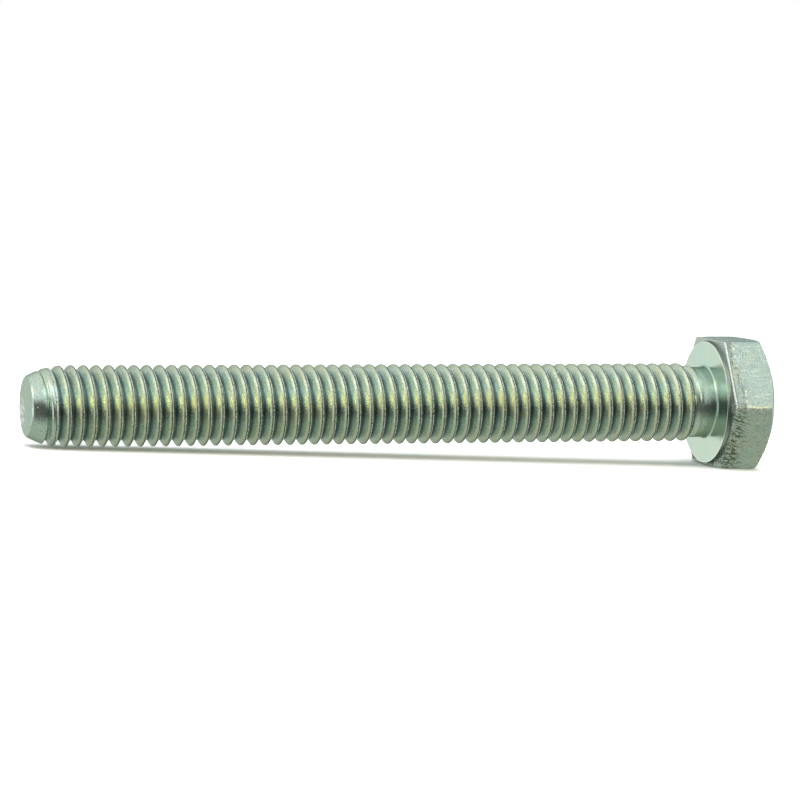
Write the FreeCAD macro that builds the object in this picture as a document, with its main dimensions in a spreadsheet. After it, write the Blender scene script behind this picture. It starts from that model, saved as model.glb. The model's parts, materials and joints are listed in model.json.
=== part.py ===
"""Hex bolt with thread over the whole shank, M8 x 1.25 x 70.

Frame, in millimetres: the origin is the centre of the bearing face under the head, on the bolt's axis.
+X runs along the axis from the point to the head's top, and +Z is square to the head's upper flat.
The head lies at positive X, and the shank at negative X.
"""
import FreeCAD, Part
import os
import Sketcher

# Name, value in millimetres or degrees, what it is.
SIZES = [
    ("across_flats", 12.8, "head, flat to flat, for a 13 mm spanner"),
    ("head_height", 5.3, "bearing face to the head's top"),
    ("chamfer_diameter", 11.3, "circle where the chamfer meets the head's top"),
    ("chamfer_slope", 30, "chamfer, degrees from the head's top"),
    ("washer_face_diameter", 12.3, "raised bearing face"),
    ("washer_face_height", 0.45, "how far the bearing face stands out of the hexagon"),
    ("neck_diameter", 7.1, "plain neck between the thread and the head"),
    ("neck_stub", 0.5, "length of neck that belongs to the head"),
    ("neck_end", 1.3, "bearing face to the neck's other end"),
    ("fillet_radius", 0.4, "between the neck and the bearing face"),
    ("shank_length", 70, "bearing face to the end of the point"),
    ("pitch", 1.25, "thread, crest to crest"),
    ("major_diameter", 7.93, "over the thread's crests"),
    ("minor_diameter", 6.5, "at the thread's roots"),
    ("root_width", 0.18, "flat at the bottom of the groove"),
    ("flank_angle", 60, "groove, flank to flank, degrees"),
    ("groove_clearance", 0.1, "how far the groove's outline stands out of the crests"),
    ("groove_end", 2.516, "bearing face to the last full groove, measured on top"),
    ("turns_near_head", 27, "full turns of groove in the half by the head"),
    ("turns_near_point", 28, "and in the half by the point, from beyond the point"),
    ("runout_turns", 1, "turns over which the groove rises out of the neck"),
    ("runout_rise", 0.45, "how far it rises"),
    ("shoulder_end", 2.4, "bearing face to where the blank has its full diameter"),
    ("point_diameter", 5.87, "flat face at the point"),
    ("point_cone_diameter", 7.1, "where the point's steep cone ends"),
    ("point_cone_length", 1.3, "length of the steep cone"),
    ("point_length", 3.4, "end of the point to the first full crest"),
]

HORIZONTAL_AXIS = -1
VERTICAL_AXIS = -2
ORIGIN_POINT = (-1, 1)
START, END = 1, 2
FULL_TURN = 360
PITCH_TURNS_ANGLE = 1  # the helix feature's mode


def make_sheet(doc):
    """The spreadsheet of driving dimensions, with one alias per size."""
    sheet = doc.addObject("Spreadsheet::Sheet", "sizes")
    for row, (alias, value, meaning) in enumerate(SIZES, start=1):
        sheet.set(f"A{row}", alias)
        sheet.set(f"B{row}", str(value))
        sheet.set(f"C{row}", meaning)
        sheet.setAlias(f"B{row}", alias)
    doc.recompute()
    return sheet


def make_sketch(body, name, plane_role):
    """An empty sketch on one of the body's own origin planes."""
    sketch = body.newObject("Sketcher::SketchObject", name)
    plane = next(f for f in body.Origin.OriginFeatures if f.Role == plane_role)
    sketch.AttachmentSupport = [(plane, "")]
    sketch.MapMode = "FlatFace"
    return sketch


def number(owner, formula):
    """A formula's value as a plain number."""
    value = owner.evalExpression(formula)
    return float(getattr(value, "Value", value))


def draw_outline(sketch, corners):
    """A closed outline of straight edges, each corner held by two formulas, its distances from the origin."""
    places = [FreeCAD.Vector(number(sketch, across), number(sketch, up), 0) for across, up in corners]
    count = len(places)
    for edge in range(count):
        sketch.addGeometry(Part.LineSegment(places[edge], places[(edge + 1) % count]), False)
    for edge in range(count):
        following = (edge + 1) % count
        sketch.addConstraint(Sketcher.Constraint("Coincident", edge, END, following, START))
    for edge, (across, up) in enumerate(corners):
        hold_distance(sketch, edge, "DistanceX", across, VERTICAL_AXIS)
        hold_distance(sketch, edge, "DistanceY", up, HORIZONTAL_AXIS)


def hold_distance(sketch, edge, direction, formula, zero_axis):
    """Binds the distance from the origin to an edge's start, or puts the start on the axis where it is 0."""
    if formula == "0":
        sketch.addConstraint(Sketcher.Constraint("PointOnObject", edge, START, zero_axis))
        return
    value = number(sketch, formula)
    index = sketch.addConstraint(Sketcher.Constraint(direction, *ORIGIN_POINT, edge, START, value))
    sketch.setExpression(f"Constraints[{index}]", formula)


def revolve(body, kind, name, corners):
    """A solid of revolution, or a groove, about the bolt's axis."""
    sketch = make_sketch(body, f"{name}_outline", "XZ_Plane")
    draw_outline(sketch, corners)
    feature = body.newObject(kind, name)
    feature.Profile = sketch
    feature.ReferenceAxis = (sketch, ["H_Axis"])
    feature.Angle = FULL_TURN
    return feature


def edge_at(feature, along, radius):
    """The name of the feature's round edge about the bolt's axis, at a place along it."""
    for index, edge in enumerate(feature.Shape.Edges, start=1):
        if not isinstance(edge.Curve, Part.Circle):
            continue
        centre = edge.Curve.Center
        if abs(centre.x - along) < 1e-6 and abs(edge.Curve.Radius - radius) < 1e-6:
            return f"Edge{index}"
    raise ValueError(f"{feature.Name} has no round edge of radius {radius} at {along}")


def make_head(doc, sheet):
    """The hexagon with its chamfered top, the raised bearing face and the fillet down to the neck."""
    body = doc.addObject("PartDesign::Body", "hex_head")
    body.Label = "hex_head"

    hexagon = make_sketch(body, "hexagon_outline", "YZ_Plane")
    hexagon.setExpression("AttachmentOffset.Base.z", "sizes.washer_face_height")
    half = "sizes.across_flats / 2"
    corner = "sizes.across_flats / sqrt(3)"
    draw_outline(hexagon, [
        (corner, "0"),
        (f"{corner} / 2", half),
        (f"-{corner} / 2", half),
        (f"-{corner}", "0"),
        (f"-{corner} / 2", f"-{half}"),
        (f"{corner} / 2", f"-{half}"),
    ])
    prism = body.newObject("PartDesign::Pad", "hexagon")
    prism.Profile = hexagon
    prism.setExpression("Length", "sizes.head_height - sizes.washer_face_height")

    reach = "(sizes.across_flats - sizes.chamfer_diameter / 2)"
    drop = f"{reach} * tan(sizes.chamfer_slope * 1deg)"
    revolve(body, "PartDesign::Groove", "top_chamfer", [
        ("sizes.head_height", "sizes.chamfer_diameter / 2"),
        ("sizes.head_height", "sizes.across_flats"),
        (f"sizes.head_height - {drop}", "sizes.across_flats"),
    ])

    flange = revolve(body, "PartDesign::Revolution", "bearing_face", [
        ("-sizes.neck_stub", "0"),
        ("-sizes.neck_stub", "sizes.neck_diameter / 2"),
        ("0", "sizes.neck_diameter / 2"),
        ("0", "sizes.washer_face_diameter / 2"),
        ("sizes.washer_face_height", "sizes.washer_face_diameter / 2"),
        ("sizes.washer_face_height", "0"),
    ])
    doc.recompute()

    fillet = body.newObject("PartDesign::Fillet", "neck_fillet")
    fillet.Base = (flange, [edge_at(flange, 0, sheet.neck_diameter / 2)])
    fillet.setExpression("Radius", "sizes.fillet_radius")
    body.Tip = fillet
    return body


def draw_groove(sketch, place):
    """The groove's section: a flat root and two flanks, centred at a place along the axis."""
    top = "(sizes.major_diameter / 2 + sizes.groove_clearance)"
    root = "sizes.minor_diameter / 2"
    half_root = "sizes.root_width / 2"
    half_top = f"({half_root} + ({top} - {root}) * tan(sizes.flank_angle / 2 * 1deg))"
    draw_outline(sketch, [
        (f"{place} - {half_root}", root),
        (f"{place} + {half_root}", root),
        (f"{place} + {half_top}", top),
        (f"{place} - {half_top}", top),
    ])


def cut_groove(body, name, place, turns):
    """A right-hand helical groove that starts on top of the bolt and runs towards the head."""
    sketch = make_sketch(body, f"{name}_section", "XZ_Plane")
    draw_groove(sketch, place)
    groove = body.newObject("PartDesign::SubtractiveHelix", name)
    groove.Profile = sketch
    groove.ReferenceAxis = (sketch, ["H_Axis"])
    groove.Mode = PITCH_TURNS_ANGLE
    groove.LeftHanded = False
    groove.Reversed = False
    groove.setExpression("Pitch", "sizes.pitch")
    groove.setExpression("Turns", turns)
    return groove


def make_shank(doc):
    """The blank with its neck and point, and the thread cut into it."""
    body = doc.addObject("PartDesign::Body", "threaded_shank")
    body.Label = "threaded_shank"

    crest = "sizes.major_diameter / 2"
    revolve(body, "PartDesign::Revolution", "blank", [
        ("-sizes.neck_stub", "0"),
        ("-sizes.neck_stub", "sizes.neck_diameter / 2"),
        ("-sizes.neck_end", "sizes.neck_diameter / 2"),
        ("-sizes.shoulder_end", crest),
        ("-sizes.shank_length + sizes.point_length", crest),
        ("-sizes.shank_length + sizes.point_cone_length", "sizes.point_cone_diameter / 2"),
        ("-sizes.shank_length", "sizes.point_diameter / 2"),
        ("-sizes.shank_length", "0"),
    ])

    middle = "(-sizes.groove_end - sizes.turns_near_head * sizes.pitch)"
    point_end = f"({middle} - sizes.turns_near_point * sizes.pitch)"
    cut_groove(body, "thread_near_point", point_end, "sizes.turns_near_point")
    cut_groove(body, "thread_near_head", middle, "sizes.turns_near_head")
    runout = cut_groove(body, "runout", "(-sizes.groove_end)", "sizes.runout_turns")
    runout.setExpression("Angle", "atan(sizes.runout_rise / (sizes.runout_turns * sizes.pitch))")
    body.Tip = runout
    return body


def check(doc, bodies):
    """Stops before anything is written if a feature failed or a body's shape is missing or broken."""
    for item in doc.Objects:
        if "Invalid" in item.State or "Error" in item.State:
            raise RuntimeError(f"{item.Name} failed: {item.State}")
    for body in bodies:
        if body.Shape.isNull() or not body.Shape.isValid():
            raise RuntimeError(f"{body.Label} has no valid shape")
        if len(body.Shape.Solids) != 1:
            raise RuntimeError(f"{body.Label} isn't one solid")


def main():
    doc = FreeCAD.newDocument("hex_bolt")
    sheet = make_sheet(doc)
    bodies = [make_head(doc, sheet), make_shank(doc)]
    doc.recompute()
    check(doc, bodies)
    os.makedirs("parts", exist_ok=True)
    for body in bodies:
        body.Shape.exportStep(f"parts/{body.Label}.step")
        print(body.Label, round(body.Shape.Volume, 2), "mm3,", len(body.Shape.Faces), "faces")


main()
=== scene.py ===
"""Looks of the hex bolt: detailed meshes for its head and threaded shank, zinc plate and a studio."""
import json
import math
import bmesh
import bpy
import numpy as np
from mathutils import Matrix, Vector, noise


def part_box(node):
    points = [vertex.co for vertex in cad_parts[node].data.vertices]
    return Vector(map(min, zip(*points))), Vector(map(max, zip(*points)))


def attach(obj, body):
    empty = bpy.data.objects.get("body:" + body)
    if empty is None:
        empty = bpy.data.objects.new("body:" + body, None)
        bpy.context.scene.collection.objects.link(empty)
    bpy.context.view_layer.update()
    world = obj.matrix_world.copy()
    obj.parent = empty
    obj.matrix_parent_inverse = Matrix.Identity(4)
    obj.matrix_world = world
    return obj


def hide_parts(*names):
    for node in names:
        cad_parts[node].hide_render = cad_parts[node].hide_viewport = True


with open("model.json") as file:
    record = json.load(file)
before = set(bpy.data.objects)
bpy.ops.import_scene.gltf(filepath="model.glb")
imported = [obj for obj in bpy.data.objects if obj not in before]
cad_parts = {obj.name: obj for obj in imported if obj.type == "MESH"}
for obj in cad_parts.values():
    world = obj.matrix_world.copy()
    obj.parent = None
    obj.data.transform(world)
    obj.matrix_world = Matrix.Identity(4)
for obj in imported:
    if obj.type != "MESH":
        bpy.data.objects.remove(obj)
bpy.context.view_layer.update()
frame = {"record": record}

# Lengths below are in millimetres along the frame's axes. MM turns them into metres.
MM = 0.001
head_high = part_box("hex_head")[1] / MM
shank_low, shank_high = (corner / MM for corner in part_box("threaded_shank"))
mounts = {mount["name"]: mount for mount in frame["record"]["mounts"]}

HEAD_TOP = head_high.x
HALF_FLATS = head_high.z
POINT_END = shank_low.x
JOIN = shank_high.x
MAJOR = mounts["thread"]["dims"]["r_mm"]

# The head, as in the CAD model.
BEARING_RADIUS = 6.15
BEARING_HEIGHT = 0.45
CHAMFER_RADIUS = 5.65
CHAMFER_SLOPE = math.tan(math.radians(30))
NECK = 3.55
NECK_FILLET = 0.4

# The thread, as in the CAD model.
PITCH = 1.25
MINOR = 3.25
CREST_HALF_WIDTH = 0.122
FLANK_SLOPE = 1 / math.tan(math.radians(30))
CREST_PHASE = 0.237
RUNOUT_FROM, RUNOUT_TO = -2.7, -1.35
POINT_RADIUS = 2.935
POINT_CONE_RADIUS = 3.55
POINT_CONE_LENGTH = 1.3
POINT_LENGTH = 3.4

# The fine shape of the thread and the point. A place is measured from the crest's middle.
CREST_ROUNDING = 0.22
ROOT_ROUNDING = 0.20
SEAM_PLACE, SEAM_WIDTH, SEAM_DEPTH = 0.02, 0.03, 0.025
LIP_PLACE, LIP_WIDTH, LIP_HEIGHT = 0.09, 0.035, 0.035
POINT_CORNER_ROUNDING = 0.12
POINT_EDGE = 0.09
POINT_EDGE_ROUNDING = 0.06
BODY_ROUNDING = 0.05


def soft_min(a, b, width):
    """The smaller of two arrays, with the corner between them rounded over a width."""
    share = np.clip(0.5 + 0.5 * (b - a) / width, 0, 1)
    return b * (1 - share) + a * share - width * share * (1 - share)


def soft_max(a, b, width):
    """The larger of two arrays, with the corner between them rounded over a width."""
    return -soft_min(-a, -b, width)


def smooth_step(low, high, value):
    """0 at low and beyond it, 1 at high and beyond it, and a smooth change between."""
    share = np.clip((value - low) / (high - low), 0, 1)
    return share * share * (3 - 2 * share)


def field(points, scale, seed, octaves=2):
    """Smooth noise between about -1 and 1 at each point, with features as large as the scale."""
    offset = Vector((17.3 * seed, -9.1 * seed, 5.7 * seed))
    return np.array([
        noise.fractal(Vector(p) + offset, 1.0, 2.0, octaves) for p in points.reshape(-1, 3) / scale
    ]).reshape(points.shape[:-1])


def around(x, radius, angle):
    """Points at a place along the axis, a radius and an angle about it, from +Y towards +Z."""
    x, radius, angle = np.broadcast_arrays(x, radius, angle)
    return np.stack([x, radius * np.cos(angle), radius * np.sin(angle)], axis=-1)


# ---------------------------------------------------------------- threaded shank

# Rows across one pitch, as shares of it from the crest's middle. They crowd at the crest.
PITCH_ROWS = np.array([
    -0.5, -0.42, -0.34, -0.26, -0.195, -0.14, -0.09, -0.045, -0.01,
    0.02, 0.045, 0.07, 0.095, 0.125, 0.17, 0.23, 0.31, 0.40,
])
SHANK_COLUMNS = 96
POINT_FACE_RINGS = (0.985, 0.95, 0.88, 0.79, 0.69, 0.58, 0.47, 0.36, 0.25, 0.14)
POINT_FACE_RELIEF = 0.02


def point_envelope(x):
    """The radius that the point's two cones leave, with a rounded edge at its flat end."""
    along = x - POINT_END
    steep = POINT_RADIUS + along * (POINT_CONE_RADIUS - POINT_RADIUS) / POINT_CONE_LENGTH
    gentle_slope = (MAJOR - POINT_CONE_RADIUS) / (POINT_LENGTH - POINT_CONE_LENGTH)
    gentle = POINT_CONE_RADIUS + (along - POINT_CONE_LENGTH) * gentle_slope
    edge = POINT_RADIUS - POINT_EDGE + 1.4 * along
    cones = soft_min(steep, gentle, POINT_CORNER_ROUNDING)
    return soft_min(cones, edge, POINT_EDGE_ROUNDING)


def thread_radius(x, angle):
    """The rolled thread's radius: 60 degree flanks, round roots, and crests whose lips don't quite meet."""
    turns = x / PITCH - angle / (2 * math.pi) - CREST_PHASE
    from_crest = (turns - np.round(turns)) * PITCH
    places = around(x, np.full_like(x, MAJOR), angle)
    swell = field(places, 3.0, 1)
    rough = field(places, 0.55, 2)
    fine = field(places, 0.3, 3)
    apex = MAJOR + CREST_HALF_WIDTH * FLANK_SLOPE
    flank = apex - np.abs(from_crest + 0.012 * rough) * FLANK_SLOPE
    crest = MAJOR - 0.014 - 1.7 * (from_crest - 0.03) ** 2 + 0.010 * rough
    ridge = soft_min(flank, crest, CREST_ROUNDING)
    formed = soft_max(ridge, MINOR + 0.006 * swell, ROOT_ROUNDING)
    seam = np.exp(-(((from_crest - SEAM_PLACE) / SEAM_WIDTH) ** 2))
    lip = np.exp(-(((from_crest - LIP_PLACE) / LIP_WIDTH) ** 2))
    raised = lip * LIP_HEIGHT * np.clip(fine, 0, None)
    return formed + raised - seam * SEAM_DEPTH * smooth_step(-0.6, 0.4, rough)


def shank_radius(x, angle):
    """The shank's radius: the thread fades into the plain neck, and is cut down to the point's cones."""
    fade = smooth_step(RUNOUT_TO, RUNOUT_FROM, x)
    body = NECK + (thread_radius(x, angle) - NECK) * fade
    return soft_min(body, point_envelope(x), BODY_ROUNDING)


# Knocks on the crests: place along the axis, angle in degrees from +Y towards +Z, size and depth.
KNOCKS = (
    (-16.6, 128, 0.45, 0.16), (-15.3, 133, 0.3, 0.10), (-67.2, 141, 0.35, 0.10),
    (-64.6, 139, 0.4, 0.14), (-66.0, 158, 0.25, 0.08), (-49.8, 150, 0.3, 0.07),
    (-38.7, 171, 0.3, 0.06), (-27.4, 146, 0.35, 0.08), (-9.9, 160, 0.3, 0.07),
    (-56.2, 205, 0.35, 0.08), (-31.2, 214, 0.35, 0.08), (-20.1, 300, 0.4, 0.10),
    (-45.0, 20, 0.4, 0.10), (-12.4, 48, 0.35, 0.08), (-60.8, 250, 0.35, 0.09),
    (-5.6, 222, 0.3, 0.06),
)


def knock(points):
    """How far each point is pushed in by the knocks."""
    depth = np.zeros(points.shape[:-1])
    for x, degrees, size, deep in KNOCKS:
        centre = around(x, MAJOR, math.radians(degrees))
        distance = np.linalg.norm(points - centre, axis=-1)
        depth = np.maximum(depth, deep * np.exp(-((distance / size) ** 2)))
    return depth


def point_face(share, angle):
    """A ring of the sheared end, at a share of its radius: nearly flat, with slanting tear marks."""
    ring = around(POINT_END, share * (POINT_RADIUS - POINT_EDGE), angle)
    slant = np.zeros_like(ring)
    slant[..., 1] = (ring[..., 1] - ring[..., 2]) * 0.25
    slant[..., 2] = (ring[..., 1] + ring[..., 2]) * 1.2
    marks = POINT_FACE_RELIEF * np.clip(field(slant, 0.8, 5), 0, None)
    ring[..., 0] += marks * smooth_step(1.0, 0.9, share) + POINT_FACE_RELIEF * (1 - share)
    return ring


def shank_mesh():
    """The shank's mesh. Its rows follow the helix, so the crest stays on a line of vertices.

    Rows past an end fold into its edge. The last column joins the first one pitch further on.
    """
    columns = SHANK_COLUMNS
    per_turn = len(PITCH_ROWS)
    first = math.floor(POINT_END / PITCH) - 2
    last = math.ceil(JOIN / PITCH) + 2
    turns = np.concatenate([turn + PITCH_ROWS for turn in range(first, last + 1)])
    rows = len(turns)
    angle = np.arange(columns) * 2 * math.pi / columns
    x = (turns[:, None] + angle[None, :] / (2 * math.pi) + CREST_PHASE) * PITCH
    x = np.clip(x, POINT_END, JOIN)
    angles = np.broadcast_to(angle, x.shape)
    radius = shank_radius(x, angles)
    radius = radius - knock(around(x, radius, angles))
    points = [around(x, radius, angles).reshape(-1, 3)]

    faces = []
    wall = np.arange(rows * columns).reshape(rows, columns)
    for row in range(rows - per_turn - 1):
        for column in range(columns):
            if column + 1 < columns:
                near, far = wall[row, column + 1], wall[row + 1, column + 1]
            else:
                near, far = wall[row + per_turn, 0], wall[row + 1 + per_turn, 0]
            faces.append((wall[row, column], wall[row + 1, column], far, near))

    count = rows * columns
    edge = wall[0]
    for share in POINT_FACE_RINGS:
        points.append(point_face(share, angle))
        ring = np.arange(count, count + columns)
        faces += band(edge, ring)
        edge, count = ring, count + columns
    points.append(np.array([[POINT_END + POINT_FACE_RELIEF, 0, 0], [JOIN, 0, 0]]))
    faces += fan(edge, count)
    faces += fan(wall[rows - per_turn - 1][::-1], count + 1)
    return build("bolt_shank", np.concatenate(points), faces)


def band(ring, inner):
    """Quads from one closed ring of vertices to the next."""
    size = len(ring)
    return [(ring[i], ring[(i + 1) % size], inner[(i + 1) % size], inner[i]) for i in range(size)]


def fan(ring, centre):
    """Triangles from a closed ring of vertices to one in its middle."""
    size = len(ring)
    return [(ring[i], ring[(i + 1) % size], centre) for i in range(size)]


def build(name, points, faces):
    """An object from points in millimetres, with folded rows merged away and all faces pointing out."""
    mesh = bpy.data.meshes.new(name)
    mesh.from_pydata((points * MM).tolist(), [], [tuple(int(i) for i in face) for face in faces])
    work = bmesh.new()
    work.from_mesh(mesh)
    bmesh.ops.remove_doubles(work, verts=work.verts, dist=1e-7)
    bmesh.ops.dissolve_degenerate(work, edges=work.edges, dist=1e-7)
    bmesh.ops.recalc_face_normals(work, faces=work.faces)
    work.to_mesh(mesh)
    work.free()
    mesh.shade_smooth()
    mesh.set_sharp_from_angle(angle=math.radians(50))
    piece = bpy.data.objects.new(name, mesh)
    bpy.context.scene.collection.objects.link(piece)
    return piece


# ---------------------------------------------------------------- head

COLUMNS_PER_FLAT = 44
FLATS = 6
CORNER_SHARPNESS = 110

# Rows along each straight stretch of the head's outline, and how early each of its corners starts to round.
HEAD_ROWS = (4, 2, 12, 4, 7, 34, 9, 12)
HEAD_ROUNDINGS = (0.002, NECK_FILLET, 0.07, 0.07, 0.20, 0.08, 0.12)
BEND_ROWS = 5

# The trimming marks on the flats, in millimetres.
TEAR_DEPTH = 0.055
STEP_DEPTH = 0.022
STEP_PLACE = 1.15
BURR_HEIGHT = 0.05


def head_angles():
    """Angles of the head's columns, which crowd at the hexagon's corners."""
    share = np.linspace(-1, 1, COLUMNS_PER_FLAT, endpoint=False)
    within = np.radians(30) * np.sin(share * math.pi / 2)
    middles = np.radians(30 + 60 * np.arange(FLATS))
    return (middles[:, None] + within[None, :]).ravel()


def hexagon_radius(angle):
    """Distance from the axis to the hexagon's side, with its corners slightly rounded."""
    middles = np.radians(30 + 60 * np.arange(FLATS))
    facing = np.clip(np.cos(angle[:, None] - middles[None, :]), 0, None)
    return HALF_FLATS / (facing ** CORNER_SHARPNESS).sum(axis=1) ** (1 / CORNER_SHARPNESS)


def rounded_outline(corners):
    """Rows along an outline of corners, each an (x, radius) pair of arrays over the columns."""
    shape = corners[-1][1].shape
    corners = np.array([[np.broadcast_to(value, shape) for value in pair] for pair in corners])
    steps = np.diff(corners, axis=0)
    lengths = np.maximum(np.linalg.norm(steps, axis=1), 1e-9)
    ahead = steps / lengths[:, None, :]
    rows = []
    start = corners[0]
    for index, corner in enumerate(corners[1:-1]):
        room = 0.45 * np.minimum(lengths[index], lengths[index + 1])
        cut = np.minimum(HEAD_ROUNDINGS[index], room)
        stop = corner - ahead[index] * cut
        leave = corner + ahead[index + 1] * cut
        for share in np.linspace(0, 1, HEAD_ROWS[index], endpoint=False):
            rows.append(start + (stop - start) * share)
        for share in np.linspace(0, 1, BEND_ROWS, endpoint=False):
            rows.append(stop * (1 - share) ** 2 + corner * 2 * share * (1 - share) + leave * share ** 2)
        start = leave
    for share in np.linspace(0, 1, HEAD_ROWS[-1], endpoint=False):
        rows.append(start + (corners[-1] - start) * share)
    rows.append(corners[-1])
    return np.array(rows)


def head_mesh():
    """The head's mesh: its outline turned about the axis, with the flats' distance in place of a radius."""
    angle = head_angles()
    side = hexagon_radius(angle)
    chamfer_start = HEAD_TOP - (side - CHAMFER_RADIUS) * CHAMFER_SLOPE
    corners = [
        (JOIN, np.full_like(side, 0.8)),
        (JOIN, NECK),
        (0.0, NECK),
        (0.0, BEARING_RADIUS),
        (BEARING_HEIGHT, BEARING_RADIUS),
        (BEARING_HEIGHT, side),
        (chamfer_start, side),
        (HEAD_TOP, CHAMFER_RADIUS),
        (HEAD_TOP, np.full_like(side, 0.5)),
    ]
    rows = rounded_outline(corners)
    x, radius = rows[:, 0], rows[:, 1]
    angles = np.broadcast_to(angle, x.shape)
    places = around(x, radius, angles)
    places = places + head_wear(x, radius, angles, places)

    grid = np.arange(x.size).reshape(x.shape)
    faces = []
    for row in range(len(grid) - 1):
        faces += band(grid[row + 1], grid[row])
    points = [places.reshape(-1, 3), np.array([[JOIN, 0, 0], [HEAD_TOP, 0, 0]])]
    faces += fan(grid[0], x.size)
    faces += fan(grid[-1][::-1], x.size + 1)
    return build("bolt_head", np.concatenate(points), faces)


def head_wear(x, radius, angle, places):
    """Moves of the head's surface: tears by the flats' lower edges, a sheared step, roughness and burrs."""
    outward = np.stack([np.zeros_like(angle), np.cos(angle), np.sin(angle)], axis=-1)
    side = smooth_step(BEARING_RADIUS + 0.12, BEARING_RADIUS + 0.25, radius)
    on_side = side * smooth_step(BEARING_HEIGHT + 0.02, BEARING_HEIGHT + 0.12, x)
    up_side = x - BEARING_HEIGHT

    tears = np.clip(field(places / np.array([2.4, 0.55, 0.55]), 0.45, 11, 3), 0, None)
    torn_share = 0.35 + 0.65 * smooth_step(0.15, -0.35, np.sin(angle))
    torn = torn_share * smooth_step(1.7, 0.2, up_side + 0.5 * field(places, 2.2, 12))
    sheared = up_side - STEP_PLACE - 0.35 * field(places, 1.6, 13) - 0.18 * field(places, 0.5, 14)
    step = STEP_DEPTH * smooth_step(-0.05, 0.05, sheared)
    rough = 0.010 * field(places, 0.7, 15, 3)
    moved = (step + rough - 0.02 - TEAR_DEPTH * tears * torn) * on_side

    from_chamfer = x - (HEAD_TOP - (radius - CHAMFER_RADIUS) * CHAMFER_SLOPE)
    at_chamfer = np.exp(-((from_chamfer / 0.07) ** 2)) * on_side
    burr = BURR_HEIGHT * at_chamfer * np.clip(field(places, 0.6, 16), 0, None)
    return outward * (moved + burr)[..., None]


# ---------------------------------------------------------------- materials


class Nodes:
    """A short way to write the nodes of a material or a world. Sizes are given in millimetres."""

    def __init__(self, tree, coordinates="Object"):
        self.tree = tree
        tree.nodes.clear()
        self.place = tree.nodes.new("ShaderNodeTexCoord").outputs[coordinates]

    def put(self, socket, value):
        """Links a socket to another node's output, or sets it to a plain value."""
        if isinstance(value, bpy.types.NodeSocket):
            self.tree.links.new(value, socket)
        else:
            socket.default_value = value

    def math(self, operation, first, second=0.0):
        node = self.tree.nodes.new("ShaderNodeMath")
        node.operation = operation
        self.put(node.inputs[0], first)
        self.put(node.inputs[1], second)
        return node.outputs[0]

    def add(self, first, second):
        return self.math("ADD", first, second)

    def times(self, first, second):
        return self.math("MULTIPLY", first, second)

    def most(self, first, second):
        return self.math("MAXIMUM", first, second)

    def ramp(self, value, low, high, to_low=0.0, to_high=1.0):
        """A smooth change from to_low, where the value is low, to to_high, where it is high."""
        node = self.tree.nodes.new("ShaderNodeMapRange")
        node.interpolation_type = "SMOOTHSTEP"
        numbers = (("From Min", low), ("From Max", high), ("To Min", to_low), ("To Max", to_high))
        for name, number in numbers:
            self.put(node.inputs[name], number)
        self.put(node.inputs["Value"], value)
        return node.outputs["Result"]

    def bell(self, value, middle, width):
        """1 at the middle, falling smoothly to 0 a width away on both sides."""
        away = self.math("ABSOLUTE", self.math("SUBTRACT", value, middle))
        return self.ramp(away, width, 0.0)

    def toward(self, direction):
        """How nearly the coordinates, as a direction, point the given way: 1 when they do."""
        node = self.tree.nodes.new("ShaderNodeVectorMath")
        node.operation = "DOT_PRODUCT"
        self.put(node.inputs[0], self.place)
        node.inputs[1].default_value = direction
        return node.outputs["Value"]

    def parts(self):
        """The coordinates as three separate values."""
        node = self.tree.nodes.new("ShaderNodeSeparateXYZ")
        self.put(node.inputs[0], self.place)
        return node.outputs

    def from_axis(self):
        """The distance from the bolt's axis, in millimetres."""
        y, z = self.parts()[1:]
        square = self.add(self.times(y, y), self.times(z, z))
        return self.times(self.math("SQRT", square), 1 / MM)

    def stretched(self, stretch, turn):
        """The object's coordinates drawn out along each axis, with the drawing turned in degrees."""
        mapping = self.tree.nodes.new("ShaderNodeMapping")
        mapping.vector_type = "TEXTURE"
        mapping.inputs["Rotation"].default_value = [math.radians(angle) for angle in turn]
        mapping.inputs["Scale"].default_value = stretch
        self.put(mapping.inputs["Vector"], self.place)
        return mapping.outputs[0]

    def noise(self, size, stretch=None, detail=3.0, turn=(0, 0, 0)):
        """Smooth noise from 0 to 1 with features of a size, drawn out and turned where that is asked for."""
        node = self.tree.nodes.new("ShaderNodeTexNoise")
        self.put(node.inputs["Vector"], self.place if stretch is None else self.stretched(stretch, turn))
        node.inputs["Scale"].default_value = 1 / (size * MM)
        node.inputs["Detail"].default_value = detail
        node.inputs["Roughness"].default_value = 0.6
        return node.outputs["Fac"]

    def pits(self, size, share):
        """1 inside small scattered pits, each a share of its cell's width."""
        node = self.tree.nodes.new("ShaderNodeTexVoronoi")
        self.put(node.inputs["Vector"], self.place)
        node.inputs["Scale"].default_value = 1 / (size * MM)
        return self.ramp(node.outputs["Distance"], share, share * 0.4)

    def blend(self, share, first, second):
        """A mix of two colours, with a share of the second."""
        node = self.tree.nodes.new("ShaderNodeMix")
        node.data_type = "RGBA"
        self.put(node.inputs["Factor"], share)
        self.put(node.inputs["A"], first)
        self.put(node.inputs["B"], second)
        return node.outputs["Result"]

    def bump(self, height, depth, normal=None):
        """A bump on which a height of 1 stands depth millimetres proud."""
        node = self.tree.nodes.new("ShaderNodeBump")
        node.inputs["Distance"].default_value = depth * MM
        self.put(node.inputs["Height"], height)
        if normal is not None:
            self.put(node.inputs["Normal"], normal)
        return node.outputs["Normal"]


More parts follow.
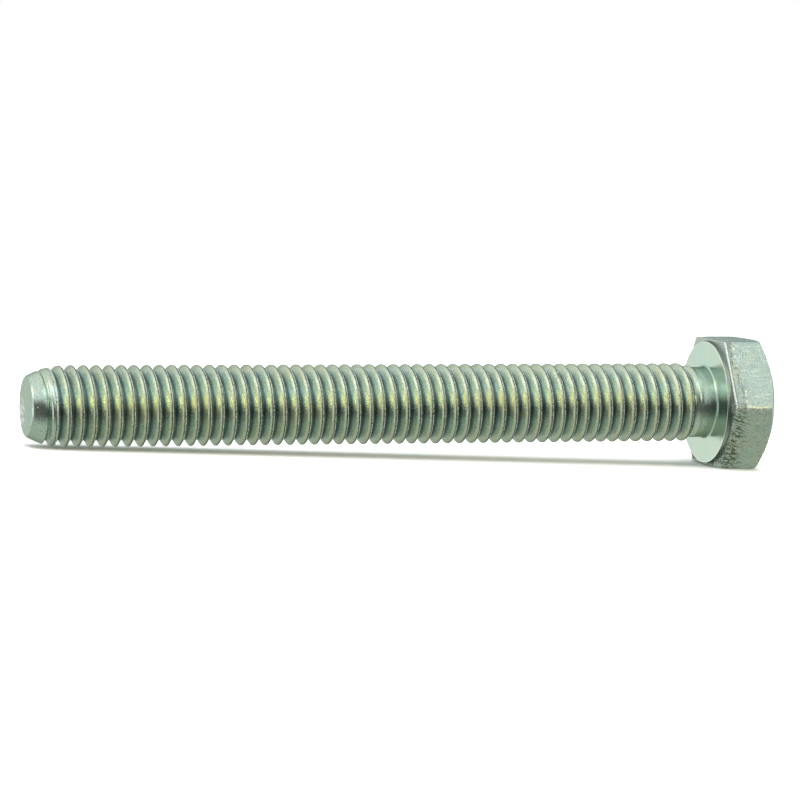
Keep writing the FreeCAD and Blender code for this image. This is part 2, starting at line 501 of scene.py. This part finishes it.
# Linear colours of the plating, from bright and tinted zinc to worn, dull and dark places, and the colours of
# painted shade and painted highlights.
ZINC = (0.64, 0.74, 0.62, 1)
ZINC_COOL = (0.58, 0.72, 0.65, 1)
ZINC_YELLOW = (0.74, 0.74, 0.50, 1)
# Dull zinc, also used for painted shade in corners, beside the step and just above the flats' lower edge.
DULL_ZINC_AND_SHADE = (0.15, 0.18, 0.15, 1)
# Black for painted shade in the thread's seam, and for dark chips.
SHADE_AND_CHIP_BLACK = (0.035, 0.050, 0.050, 1)
# Worn bright zinc, also used for painted highlights on the step line and the burrs.
WORN_ZINC_AND_HIGHLIGHT = (0.90, 0.96, 0.88, 1)
# Painted shade for the thread's roots.
ROOT_SHADE = (0.17, 0.25, 0.27, 1)
ZINC_BLUE = (0.42, 0.55, 0.56, 1)
# Painted highlights on the thread's lip and on the flats' lower edge.
LIP_HIGHLIGHT = (1, 1, 0.97, 1)
RIM_HIGHLIGHT = (1, 1, 0.95, 1)
WHITE = (1, 1, 1, 1)
EDGE_GLOSS = (0.46, 0.49, 0.46, 1)

# Where the marks on the thread lie, and how wide they are, measured from the crest's middle.
FILM_MARK = (-0.22, 0.24)
CREST_MARK = (0.03, 0.19)
LIP_HIGHLIGHT_MARK = (0.11, 0.08)
SEAM_SHADE_MARK = (0.005, 0.085)
CHIP_MARK = (0.08, 0.08)
ROOT_FROM, ROOT_TO = 0.42, 0.57

# How far the trimming step's line is from the flats' lower edge, and the middle of the point's strokes
# in Y and Z, in millimetres.
STEP_LINE = 1.3
STROKES_AT = (1.9, -0.75)


def surface(name, metallic=1.0):
    """A bare material, its nodes and its shader's sockets."""
    material = bpy.data.materials.new(name)
    material.use_nodes = True
    make = Nodes(material.node_tree)
    shader = make.tree.nodes.new("ShaderNodeBsdfPrincipled")
    shader.inputs["Metallic"].default_value = metallic
    shader.inputs["Specular Tint"].default_value = EDGE_GLOSS
    output = make.tree.nodes.new("ShaderNodeOutputMaterial")
    make.tree.links.new(shader.outputs["BSDF"], output.inputs["Surface"])
    return material, make, shader.inputs


def plate_tint(make, film_share):
    """Bright zinc with slow changes of colour, cool patches and thin yellow film, and the patches' noise."""
    cloud = make.noise(2.6, detail=4.0)
    film = make.noise(1.3, detail=2.0)
    tint = make.blend(make.ramp(film, 0.50, 0.80, 0.0, film_share), ZINC, ZINC_YELLOW)
    return make.blend(make.ramp(cloud, 0.62, 0.35), tint, ZINC_COOL), cloud


def thread_places(make):
    """How far a place is from its crest's middle, wandering a little, and 1 where there is a thread."""
    x, y, z = make.parts()
    lap = make.times(make.math("ARCTAN2", z, y), 1 / (2 * math.pi))
    turns = make.math("SUBTRACT", make.times(x, 1 / (PITCH * MM)), lap)
    turns = make.math("SUBTRACT", turns, CREST_PHASE)
    across = make.times(make.math("SUBTRACT", turns, make.math("ROUND", turns)), PITCH)
    wander = make.times(make.math("SUBTRACT", make.noise(0.7, detail=2.0), 0.5), 0.09)
    threaded = make.times(
        make.ramp(x, -1.9 * MM, -2.6 * MM),
        make.ramp(x, (POINT_END + 1.5) * MM, (POINT_END + 2.6) * MM),
    )
    return make.add(across, wander), threaded


def rolled_thread():
    """The thread: satin flanks, painted shade in the roots, and crests with a painted highlight on the lip
    beside a broken seam in painted shade.
    """
    material, make, shader = surface("zinc_rolled_thread")
    across, threaded = thread_places(make)
    fine = make.noise(0.22, detail=2.0)
    speck = make.noise(0.13, detail=3.0)
    pits = make.pits(0.8, 0.10)
    root = make.times(make.ramp(make.math("ABSOLUTE", across), ROOT_FROM, ROOT_TO), threaded)
    film = make.times(make.bell(across, *FILM_MARK), threaded)
    crest = make.times(make.bell(across, *CREST_MARK), threaded)
    lip = make.times(make.bell(across, *LIP_HIGHLIGHT_MARK), make.times(make.ramp(fine, 0.40, 0.50), threaded))
    # Painted shade in the seam beside the crest; the chips beside it are dark flaws.
    seam = make.times(make.bell(across, *SEAM_SHADE_MARK), make.times(make.ramp(fine, 0.70, 0.54), threaded))
    chip = make.times(make.bell(across, *CHIP_MARK), make.times(make.ramp(fine, 0.40, 0.32), threaded))
    shaded_seam_and_chips = make.most(seam, chip)

    tint, cloud = plate_tint(make, 0.6)
    tint = make.blend(make.times(film, 0.5), tint, ZINC_YELLOW)
    tint = make.blend(make.ramp(speck, 0.54, 0.72, 0.0, 0.6), tint, DULL_ZINC_AND_SHADE)
    tint = make.blend(make.ramp(speck, 0.46, 0.30, 0.0, 0.5), tint, WORN_ZINC_AND_HIGHLIGHT)
    # Painted shade in the thread's roots.
    tint = make.blend(make.times(root, 0.85), tint, ROOT_SHADE)
    tint = make.blend(make.times(crest, 0.25), tint, DULL_ZINC_AND_SHADE)
    # A painted highlight on the lip beside the crest.
    tint = make.blend(lip, tint, LIP_HIGHLIGHT)
    # Painted shade in the seam, and the dark chips.
    tint = make.blend(make.times(shaded_seam_and_chips, 0.95), tint, SHADE_AND_CHIP_BLACK)
    tint = make.blend(make.times(pits, 0.8), tint, DULL_ZINC_AND_SHADE)
    make.put(shader["Base Color"], tint)

    rough = make.add(make.ramp(cloud, 0.3, 0.7, 0.12, 0.22), make.times(threaded, 0.08))
    rough = make.add(rough, make.times(make.most(seam, pits), 0.14))
    make.put(shader["Roughness"], make.add(rough, make.times(lip, 0.6)))

    grain = make.times(make.noise(0.11, detail=4.0), make.ramp(threaded, 0.0, 1.0, 0.35, 1.0))
    normal = make.bump(grain, 0.022)
    normal = make.bump(make.noise(0.10, stretch=(0.5, 5, 5), detail=2.0), 0.010, normal)
    relief = make.add(lip, make.times(make.most(shaded_seam_and_chips, pits), -0.6))
    make.put(shader["Normal"], make.bump(relief, 0.05, normal))
    return material


def smooth_bearing():
    """The neck and the face under the head: clean, satin plate that mirrors softly."""
    material, make, shader = surface("zinc_smooth_bearing")
    tint, cloud = plate_tint(make, 0.25)
    pits = make.pits(1.1, 0.06)
    tint = make.blend(make.ramp(make.noise(0.12), 0.60, 0.85, 0.0, 0.35), tint, DULL_ZINC_AND_SHADE)
    tint = make.blend(make.times(pits, 0.6), tint, DULL_ZINC_AND_SHADE)
    radius = make.from_axis()
    tint = make.blend(make.bell(radius, BEARING_RADIUS - 0.06, 0.10), tint, WORN_ZINC_AND_HIGHLIGHT)
    # Painted shade on the washer face's rim, in the corner under the hexagon.
    tint = make.blend(make.bell(radius, BEARING_RADIUS + 0.03, 0.07), tint, DULL_ZINC_AND_SHADE)
    make.put(shader["Base Color"], tint)
    make.put(shader["Roughness"], make.ramp(cloud, 0.3, 0.7, 0.13, 0.22))
    normal = make.bump(make.noise(0.10), 0.006)
    normal = make.bump(make.noise(1.6, detail=2.0), 0.02, normal)
    normal = make.bump(pits, -0.02, normal)
    make.put(shader["Normal"], normal)
    return material


def trimming_marks(make, along, underneath):
    """Dark tears by the flats' lower edge, and a painted highlight along the step's broken line with painted
    shade beside it.
    """
    z = make.parts()[2]
    wander = make.times(make.math("SUBTRACT", make.noise(1.4, detail=4.0), 0.5), 1.3)
    from_step = make.add(make.add(along, wander), make.times(z, 0.085 / MM))
    from_step = make.math("SUBTRACT", from_step, BEARING_HEIGHT + STEP_LINE)
    tear = make.noise(0.30, stretch=(2.8, 0.6, 0.6), detail=3.0, turn=(0, 24, 0))
    torn = make.times(make.ramp(from_step, 0.5, -0.7), make.ramp(tear, 0.46, 0.56))
    torn = make.times(torn, make.add(make.times(underneath, 0.85), 0.15))
    upper = make.math("SUBTRACT", 1.0, underneath)
    broken = make.times(upper, make.ramp(make.noise(0.28), 0.40, 0.56))
    # A painted highlight along the broken step line, and painted shade beside it.
    step = make.times(make.bell(from_step, 0.0, 0.24), broken)
    shade = make.times(make.bell(from_step, -0.30, 0.26), broken)
    return torn, step, shade


def edge_marks(make, along, underneath):
    """Painted shade in the inner corner under the flats, a painted highlight on their lower edge with painted
    shade just above it, and painted highlights on burrs at other edges.
    """
    y, z = make.parts()[1:]
    # Painted shade in the inner corner where the flats' underside meets the washer face.
    crease_shade = make.ramp(make.from_axis(), BEARING_RADIUS + 0.16, BEARING_RADIUS + 0.02)
    crease_shade = make.times(crease_shade, make.ramp(along, 0.6, 0.5))
    above = make.ramp(underneath, 0.75, 0.35)
    # A painted highlight along the lower edge of the upper flats.
    rim_highlight = make.times(make.bell(along, BEARING_HEIGHT + 0.08, 0.13), above)
    # Painted shade in a thin band just above that edge.
    ditch_shade = make.times(make.bell(along, BEARING_HEIGHT + 0.24, 0.09), above)
    # Painted highlights on burrs by the chamfer and on knobs near the front corner.
    burr = make.times(make.ramp(along, 4.3, 5.0), make.ramp(make.noise(0.30), 0.58, 0.64))
    near_corner = make.ramp(make.math("ABSOLUTE", z), 0.9 * MM, 0.2 * MM)
    knob = make.times(near_corner, make.ramp(make.noise(0.24), 0.54, 0.60))
    burr = make.most(burr, make.times(knob, make.ramp(y, 0.0, -5 * MM)))
    return crease_shade, rim_highlight, ditch_shade, burr


def trimmed_flats():
    """The hexagon's flats and top: scratched along the axis, with marks of the trimming on the flats, and
    painted shade and highlights at their edges and along the step.
    """
    material, make, shader = surface("zinc_trimmed_flats")
    x, z = make.parts()[0], make.parts()[2]
    along = make.times(x, 1 / MM)
    on_side = make.ramp(along, HEAD_TOP - 0.01, HEAD_TOP - 0.15)
    underneath = make.times(make.ramp(z, 1.5 * MM, -1.5 * MM), on_side)
    torn, step, shade = trimming_marks(make, along, underneath)
    crease_shade, rim_highlight, ditch_shade, burr = edge_marks(make, along, underneath)
    grain = make.noise(0.20, detail=5.0)
    scratch = make.noise(0.13, stretch=(10, 0.8, 0.8), detail=4.0)
    cross = make.noise(0.14, stretch=(0.7, 9, 9), detail=3.0)
    pits = make.times(make.pits(0.45, 0.20), make.add(make.times(underneath, 0.8), 0.2))
    coarse = make.times(make.ramp(grain, 0.48, 0.72), make.ramp(underneath, 0, 1, 0.45, 0.38))
    deep = make.times(make.ramp(scratch, 0.58, 0.70), make.ramp(underneath, 0, 1, 0.25, 0.35))
    shiny = make.most(make.ramp(scratch, 0.44, 0.34), make.ramp(cross, 0.40, 0.30))

    tint, cloud = plate_tint(make, 0.1)
    # The flats above the axis take a cooler, darker tint than the ones below.
    tint = make.blend(make.ramp(underneath, 0, 1, 0.9, 0.0), tint, ZINC_BLUE)
    tint = make.blend(coarse, tint, DULL_ZINC_AND_SHADE)
    tint = make.blend(deep, tint, DULL_ZINC_AND_SHADE)
    # Painted shade beside the step line.
    tint = make.blend(make.times(shade, 0.8), tint, DULL_ZINC_AND_SHADE)
    tint = make.blend(make.times(shiny, 0.6), tint, WORN_ZINC_AND_HIGHLIGHT)
    tint = make.blend(make.times(torn, 0.92), tint, DULL_ZINC_AND_SHADE)
    # Dark pits, and painted shade in that inner corner.
    tint = make.blend(make.times(make.most(pits, crease_shade), 0.8), tint, DULL_ZINC_AND_SHADE)
    # Painted shade just above the flats' lower edge.
    tint = make.blend(make.times(ditch_shade, 0.7), tint, DULL_ZINC_AND_SHADE)
    # Painted highlights on the step line and the burrs.
    tint = make.blend(make.most(step, burr), tint, WORN_ZINC_AND_HIGHLIGHT)
    # A painted highlight on the lower edge of the upper flats.
    make.put(shader["Base Color"], make.blend(rim_highlight, tint, RIM_HIGHLIGHT))

    rough = make.add(make.ramp(cloud, 0.3, 0.7, 0.26, 0.38), make.times(rim_highlight, -0.12))
    make.put(shader["Roughness"], make.add(rough, make.times(make.most(torn, pits), 0.15)))

    normal = make.bump(grain, 0.06)
    normal = make.bump(scratch, 0.035, normal)
    normal = make.bump(cross, 0.025, normal)
    relief = make.add(make.times(make.most(step, burr), 0.7), make.times(make.most(torn, pits), -1.0))
    make.put(shader["Normal"], make.bump(relief, 0.09, normal))
    return material


def sheared_end():
    """The point's end: matte plate over a sheared face, with bright slanting strokes."""
    material, make, shader = surface("zinc_sheared_end")
    tint, cloud = plate_tint(make, 0.1)
    grain = make.noise(0.14, detail=4.0)
    lines = make.noise(0.22, stretch=(1, 5.0, 1.0), detail=1.0, turn=(17, 0, 0))
    y, z = make.parts()[1:]
    aside = make.add(y, -STROKES_AT[0] * MM)
    above = make.add(z, -STROKES_AT[1] * MM)
    away = make.math("SQRT", make.add(make.times(aside, aside), make.times(above, above)))
    near = make.ramp(away, 1.7 * MM, 1.0 * MM, 0.12, 1.0)
    strokes = make.times(make.ramp(lines, 0.47, 0.55), near)
    tint = make.blend(make.ramp(grain, 0.44, 0.70, 0.0, 0.6), tint, DULL_ZINC_AND_SHADE)
    make.put(shader["Base Color"], make.blend(strokes, tint, WHITE))
    make.put(shader["Roughness"], make.ramp(cloud, 0.3, 0.7, 0.38, 0.50))
    normal = make.bump(grain, 0.03)
    normal = make.bump(strokes, 0.04, normal)
    make.put(shader["Normal"], normal)
    return material


def on_point_face(x, radius):
    """1 on the flat end of the point, and 0 on the rest of the shank."""
    return int(x < POINT_END + 0.03 and radius < POINT_RADIUS - 0.07)


def on_bearing(x, radius):
    """1 on the neck and the bearing face, and 0 on the hexagon."""
    edge = x < BEARING_HEIGHT + 0.02 and radius < BEARING_RADIUS
    return int(x < BEARING_HEIGHT - 0.02 or edge)


def dress(piece, node, looks, choose):
    """Gives each face one of the looks, as choose says from its place, hangs the piece under the root body
    and hides its CAD node.
    """
    for look in looks:
        piece.data.materials.append(look)
    for face in piece.data.polygons:
        middle = face.center / MM
        face.material_index = choose(middle.x, math.hypot(middle.y, middle.z))
    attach(piece, "root")
    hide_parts(node)


dress(shank_mesh(), "threaded_shank", (rolled_thread(), sheared_end()), on_point_face)
dress(head_mesh(), "hex_head", (trimmed_flats(), smooth_bearing()), on_bearing)


# ---------------------------------------------------------------- studio

FLOOR_REACH = 3.0
FLOOR_TONES = ((0.88, 0.88, 0.88, 1), (0.92, 0.92, 0.92, 1))

# Light seen in the metal, as linear colours. The three soft sources also have a direction and, as
# cosines, the angles from it where their light starts and is full.
SKY_LOW, SKY_HIGH = (0.78, 0.82, 0.79, 1), (0.86, 0.91, 0.89, 1)
BEHIND = (1.14, 1.18, 1.15, 1)
BELOW = (0.50, 0.54, 0.47, 1)
FRONT_DARK = (0.11, 0.115, 0.11, 1)
WARM, WARM_FROM, WARM_SPREAD = (6.4, 4.9, 1.7, 1), (0.66, -0.69, 0.30), (0.965, 0.99)
KEY, KEY_FROM, KEY_SPREAD = (1.7, 1.7, 1.6, 1), (-0.85, 0.0, 0.53), (0.93, 0.985)
FILL, FILL_FROM, FILL_SPREAD = (2.0, 2.1, 2.2, 1), (-0.15, -0.60, 0.78), (0.94, 0.985)
OVERHEAD_STRENGTH = 3.0
OVERHEAD_ANGLE = 70


def make_floor():
    """A pale floor under the bolt: it touches the head's lower flat and the thread near the point."""
    head_rest = Vector((BEARING_HEIGHT, 0, -HALF_FLATS)) * MM
    thread_rest = Vector((POINT_END + POINT_LENGTH, 0, -MAJOR)) * MM
    along = (head_rest - thread_rest).normalized()
    across = Vector((0, 1, 0))
    centre = (head_rest + thread_rest) / 2
    corners = ((-1, -1), (1, -1), (1, 1), (-1, 1))
    points = [centre + (along * a + across * b) * FLOOR_REACH for a, b in corners]
    mesh = bpy.data.meshes.new("studio_floor")
    mesh.from_pydata(points, [], [(0, 1, 2, 3)])
    material, make, shader = surface("pale_floor", metallic=0.0)
    make.put(shader["Base Color"], make.blend(make.noise(3.0), *FLOOR_TONES))
    shader["Roughness"].default_value = 0.8
    shader["Specular IOR Level"].default_value = 0.1
    mesh.materials.append(material)
    floor = bpy.data.objects.new("studio_floor", mesh)
    floor.visible_glossy = False
    bpy.context.scene.collection.objects.link(floor)


def studio_tone(make):
    """A soft studio, pale above and darker below, with a dark front and three brighter places."""
    x, z = make.parts()[0], make.parts()[2]
    sky = make.blend(make.ramp(z, 0.05, 0.6), SKY_LOW, SKY_HIGH)
    ground = make.blend(make.ramp(z, -0.12, -0.6), BEHIND, BELOW)
    tone = make.blend(make.ramp(z, -0.06, 0.10), ground, sky)
    level = make.add(z, make.times(make.math("MINIMUM", x, 0.0), 0.5))
    dark = make.times(make.ramp(z, -0.95, -0.35), make.ramp(level, 0.22, -0.12))
    facing = make.ramp(make.toward((0.0, -1.0, 0.0)), 0.3, 0.65)
    tone = make.blend(make.times(dark, facing), tone, FRONT_DARK)
    tone = make.blend(make.ramp(make.toward(WARM_FROM), *WARM_SPREAD), tone, WARM)
    tone = make.blend(make.ramp(make.toward(KEY_FROM), *KEY_SPREAD), tone, KEY)
    return make.blend(make.ramp(make.toward(FILL_FROM), *FILL_SPREAD), tone, FILL)


def make_world():
    """White where the world is seen directly. Everything else, reflections too, gets the studio."""
    world = bpy.data.worlds.new("studio")
    world.use_nodes = True
    bpy.context.scene.world = world
    make = Nodes(world.node_tree, "Generated")
    soft = make.tree.nodes.new("ShaderNodeBackground")
    make.put(soft.inputs["Color"], studio_tone(make))
    plain = make.tree.nodes.new("ShaderNodeBackground")
    plain.inputs["Color"].default_value = WHITE
    path = make.tree.nodes.new("ShaderNodeLightPath")
    mix = make.tree.nodes.new("ShaderNodeMixShader")
    output = make.tree.nodes.new("ShaderNodeOutputWorld")
    make.put(mix.inputs[0], path.outputs["Is Camera Ray"])
    make.put(mix.inputs[1], soft.outputs[0])
    make.put(mix.inputs[2], plain.outputs[0])
    make.put(output.inputs[0], mix.outputs[0])


def make_overhead():
    """A wide soft light from above, which whitens the floor and casts the shadow but isn't reflected."""
    light = bpy.data.lights.new("overhead", "SUN")
    light.energy = OVERHEAD_STRENGTH
    light.angle = math.radians(OVERHEAD_ANGLE)
    lamp = bpy.data.objects.new("overhead", light)
    lamp.visible_glossy = False
    bpy.context.scene.collection.objects.link(lamp)


# The camera: the angles it looks from in degrees, and its aim, distance and lens in millimetres.
CAMERA_AZIMUTH, CAMERA_ELEVATION, CAMERA_ROLL = -18.33, 5.07, 1.31
CAMERA_AIM = (-32.43, 0, 0.39)
CAMERA_DISTANCE = 360.2
CAMERA_LENS = 164.5


def make_camera():
    """The camera, aimed near the middle of the bolt. It stands in front, a little towards the point."""
    azimuth, elevation = math.radians(CAMERA_AZIMUTH), math.radians(CAMERA_ELEVATION)
    back = Vector((
        math.sin(azimuth) * math.cos(elevation),
        -math.cos(azimuth) * math.cos(elevation),
        math.sin(elevation),
    ))
    right = (-back).cross(Vector((0, 0, 1))).normalized()
    roll = Matrix.Rotation(math.radians(CAMERA_ROLL), 3, back)
    right, up = roll @ right, roll @ back.cross(right)
    turn = Matrix((right, up, back)).transposed().to_4x4()
    data = bpy.data.cameras.new("camera")
    data.lens = CAMERA_LENS
    data.clip_start, data.clip_end = 0.01, 20
    camera = bpy.data.objects.new("camera", data)
    place = (Vector(CAMERA_AIM) + back * CAMERA_DISTANCE) * MM
    camera.matrix_world = Matrix.Translation(place) @ turn
    bpy.context.scene.collection.objects.link(camera)
    bpy.context.scene.camera = camera


make_floor()
make_world()
make_overhead()
make_camera()
bpy.context.scene.view_settings.view_transform = "Standard"
